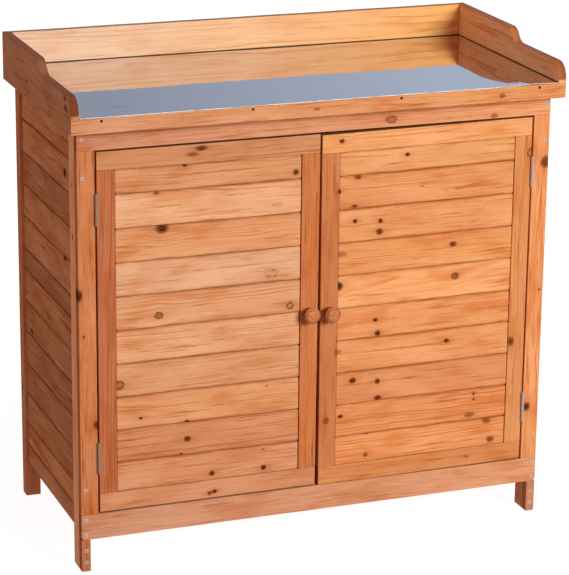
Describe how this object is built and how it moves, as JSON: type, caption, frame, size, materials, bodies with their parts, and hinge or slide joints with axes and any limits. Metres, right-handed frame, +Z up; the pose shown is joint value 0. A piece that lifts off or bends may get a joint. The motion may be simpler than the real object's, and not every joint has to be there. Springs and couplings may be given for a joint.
{
  "type": "potting bench",
  "caption": "Garden potting bench: varnished wood cabinet with plank doors, round knobs, inner shelf and a sheet-metal worktop behind a low splash rim.",
  "frame": {"origin": "on the floor, at the centre of the bench's bounding box", "axes": "+Z up, +X to the right seen from the front, the doors face -Y, the back faces +Y"},
  "size_m": [0.98, 0.48, 0.952],
  "materials": {
    "frame_wood": "clear-varnished fir laths, orange brown, satin",
    "panel_wood": "clear-varnished fir planks, tan, satin",
    "door_wood": "clear-varnished fir, light orange tan, satin",
    "splash_wood": "clear-varnished fir, pale tan, satin",
    "inner_wood": "clear-varnished fir boards inside the cabinet, satin",
    "galvanised_sheet": "thin smooth galvanised sheet, mirror-like, slightly wavy",
    "zinc_steel": "zinc plated steel",
    "catch_plastic": "white moulded plastic with a steel-faced magnet"
  },
  "bodies": {
    "bench": {"front_top_rail": "frame_wood", "front_bottom_rail": "frame_wood", "front_stile_left": "frame_wood", "front_stile_right": "frame_wood", "foot_block_left": "frame_wood", "foot_block_right": "frame_wood", "leg_front_left": "frame_wood", "leg_front_right": "frame_wood", "leg_back_left": "frame_wood", "leg_back_right": "frame_wood", "side_planks_left": "panel_wood", "side_planks_right": "panel_wood", "side_bottom_rail_left": "frame_wood", "side_bottom_rail_right": "frame_wood", "back_stile_left": "frame_wood", "back_stile_right": "frame_wood", "back_planks": "panel_wood", "back_bottom_rail": "frame_wood", "back_centre_batten": "inner_wood", "floor_boards": "inner_wood", "floor_battens": "inner_wood", "shelf_boards": "inner_wood", "shelf_battens": "inner_wood", "worktop_planks": "inner_wood", "worktop_battens": "inner_wood", "front_edge_strip": "frame_wood", "splash_board_back": "splash_wood", "splash_board_left": "splash_wood", "splash_board_right": "splash_wood", "metal_sheet": "galvanised_sheet", "frame_screws": "zinc_steel", "strip_nails": "zinc_steel", "magnetic_catches": "catch_plastic", "hinge_frame_leaves_left": "zinc_steel", "hinge_frame_leaves_right": "zinc_steel", "hinge_pins_left": "zinc_steel", "hinge_pins_right": "zinc_steel", "hinge_frame_screws": "zinc_steel"},
    "left_door": {"door_left_top_rail": "door_wood", "door_left_bottom_rail": "door_wood", "door_left_hinge_stile": "door_wood", "door_left_meeting_stile": "door_wood", "door_left_planks": "door_wood", "door_left_knob": "door_wood", "door_left_knob_screw": "zinc_steel", "door_left_hinge_leaves": "zinc_steel", "door_left_hinge_screws": "zinc_steel", "door_left_strike_plate": "zinc_steel"},
    "right_door": {"door_right_top_rail": "door_wood", "door_right_bottom_rail": "door_wood", "door_right_hinge_stile": "door_wood", "door_right_meeting_stile": "door_wood", "door_right_planks": "door_wood", "door_right_knob": "door_wood", "door_right_knob_screw": "zinc_steel", "door_right_hinge_leaves": "zinc_steel", "door_right_hinge_screws": "zinc_steel", "door_right_strike_plate": "zinc_steel"}
  },
  "joints": [
    {"name": "left_door_hinge", "type": "hinge", "parent": "bench", "child": "left_door", "pos_m": [-0.4374, -0.2159, 0.4685], "axis": [0, 0, -1], "range_deg": [0, 170]},
    {"name": "right_door_hinge", "type": "hinge", "parent": "bench", "child": "right_door", "pos_m": [0.4374, -0.2159, 0.4685], "axis": [0, 0, 1], "range_deg": [0, 170]}
  ]
}
